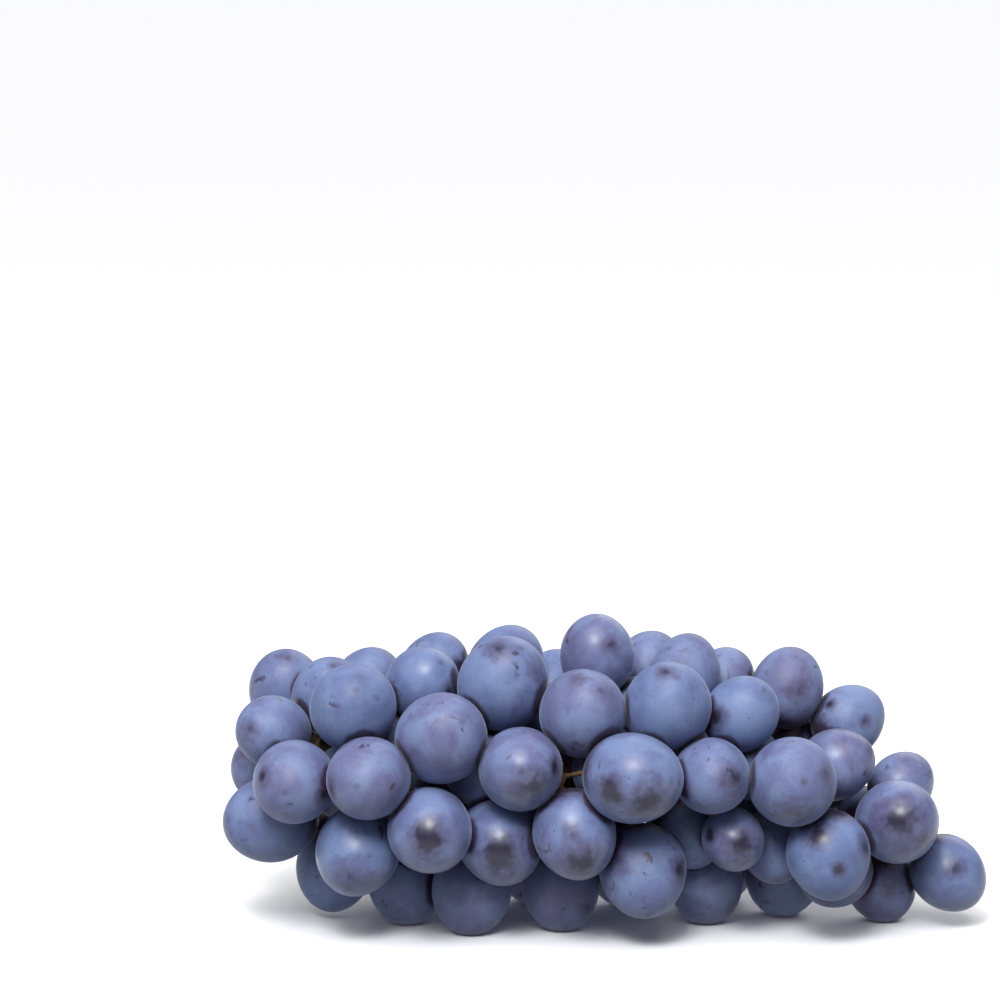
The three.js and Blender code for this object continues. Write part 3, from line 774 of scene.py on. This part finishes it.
studio = {
    "floor": "f8f8fa",
    "floorSize": 80.0,
    "floorRoughness": 0.9,
    "floorDrop": 0.02 * mm,  # keeps the floor clear of the berries' flats
    "ambient": 0.32,
    "overhead": {"turn": (32, 0, -12), "spread": 52, "power": 2.8},
    "softbox": {"at": (-0.12, -0.66, 0.72), "size": 0.27, "power": 6},
    "rim": {"at": (0.35, 0.85, 0.75), "size": 0.9, "power": 5},
}


def makeFloor():
    deselectAll()
    bpy.ops.mesh.primitive_plane_add(size=studio["floorSize"], location=(0, 0, -studio["floorDrop"]))
    floor = bpy.context.object
    floor.name = "studio_floor"
    floor.visible_diffuse = False  # it would light the underside too much
    # matt card, which spreads the light evenly
    material, tree = newMaterial("pale card")
    card = {"Base Color": toLinear(studio["floor"]), "Roughness": studio["floorRoughness"]}
    addNode(tree, "OutputMaterial", {"Surface": addNode(tree, "BsdfPrincipled", card)})
    floor.data.materials.append(material)


def addLight(name, kind):
    data = bpy.data.lights.new(name, kind)
    data.energy = studio[name]["power"]
    light = bpy.data.objects.new(name, data)
    bpy.context.scene.collection.objects.link(light)
    return light


def makeLights():
    overhead = addLight("overhead", "SUN")
    overhead.data.angle = math.radians(studio["overhead"]["spread"])
    overhead.rotation_euler = [math.radians(angle) for angle in studio["overhead"]["turn"]]
    for name in ("softbox", "rim"):
        panel = addLight(name, "AREA")
        panel.data.size = studio[name]["size"]
        panel.location = studio[name]["at"]
        toBunch = Vector((0, 0, view["aimHeight"])) - panel.location
        panel.rotation_euler = toBunch.to_track_quat("-Z", "Y").to_euler()


makeFloor()
makeLights()
world = bpy.data.worlds.new("studio")
world.use_nodes = True
world.node_tree.nodes["Background"].inputs["Color"].default_value = (1, 1, 1, 1)
world.node_tree.nodes["Background"].inputs["Strength"].default_value = studio["ambient"]
bpy.context.scene.world = world
bpy.context.scene.view_settings.view_transform = "Standard"


def makeCamera():
    data = bpy.data.cameras.new("camera")
    data.lens = view["lens"]
    data.sensor_width = view["sensor"]
    camera = bpy.data.objects.new("camera", data)
    bpy.context.scene.collection.objects.link(camera)
    slope = math.radians(view["elevation"])
    camera.location = (
        0,
        -view["distance"] * math.cos(slope),
        view["aimHeight"] + view["distance"] * math.sin(slope),
    )
    pitch = math.radians(90 - view["elevation"] + view["lookUp"])
    camera.rotation_euler = (pitch, 0, math.radians(view["lookLeft"]))
    bpy.context.scene.camera = camera


makeCamera()
print("studio ready")
